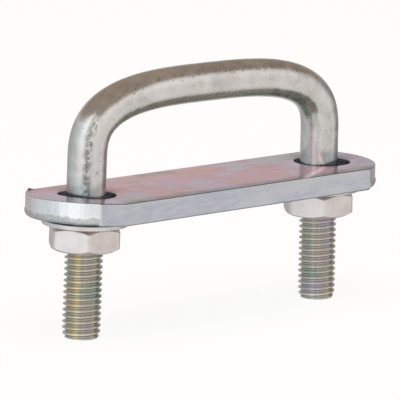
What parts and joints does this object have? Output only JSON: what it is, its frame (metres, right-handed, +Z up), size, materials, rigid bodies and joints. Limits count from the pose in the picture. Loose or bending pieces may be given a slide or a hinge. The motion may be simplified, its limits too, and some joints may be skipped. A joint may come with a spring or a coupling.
{
  "type": "pad eye",
  "caption": "Bolt-through pad eye: a bent round bar makes the eye above a flat plate, and its threaded ends carry washers and hexagon nuts below.",
  "frame": {"origin": "centre of the plate's underside, midway between the two legs", "axes": "+X along the plate through both legs, +Y across the plate, +Z up through the eye"},
  "size_m": [0.1107, 0.0296, 0.0669],
  "materials": {
    "zinc_bar": "satin bright zinc with fine dark pits",
    "zinc_plate": "bright zinc with an iridescent passivated film",
    "nut_steel": "satin"
  },
  "bodies": {
    "u_bolt": {"u_bolt": "zinc_bar"},
    "plate": {"plate": "zinc_plate"},
    "left_washer": {"left_washer": "nut_steel"},
    "right_washer": {"right_washer": "nut_steel"},
    "left_nut": {"left_nut": "nut_steel"},
    "right_nut": {"right_nut": "nut_steel"}
  },
  "joints": [
    {"name": "plate_slide", "type": "slide", "parent": "u_bolt", "child": "plate", "axis": [0, 0, 1], "range_m": [0, 0.0125]},
    {"name": "left_washer_slide", "type": "slide", "parent": "u_bolt", "child": "left_washer", "axis": [-0.0244, 0, -0.9997], "range_m": [0, 0.0225]},
    {"name": "left_nut_turn", "type": "hinge", "parent": "left_washer", "child": "left_nut", "pos_m": [-0.04032, 0, 0.00028], "axis": [-0.0244, 0, -0.9997], "range_deg": [0, 5401]},
    {"name": "right_washer_slide", "type": "slide", "parent": "u_bolt", "child": "right_washer", "axis": [0.0105, 0, -0.9999], "range_m": [0, 0.0225]},
    {"name": "right_nut_turn", "type": "hinge", "parent": "right_washer", "child": "right_nut", "pos_m": [0.04024, 0, -0.00028], "axis": [0.0105, 0, -0.9999], "range_deg": [0, 5401]}
  ],
  "couplings": [
    {"joint": "left_nut_turn", "follows": "left_washer_slide", "rad_per_m": 4188.8},
    {"joint": "right_nut_turn", "follows": "right_washer_slide", "rad_per_m": 4188.8}
  ]
}
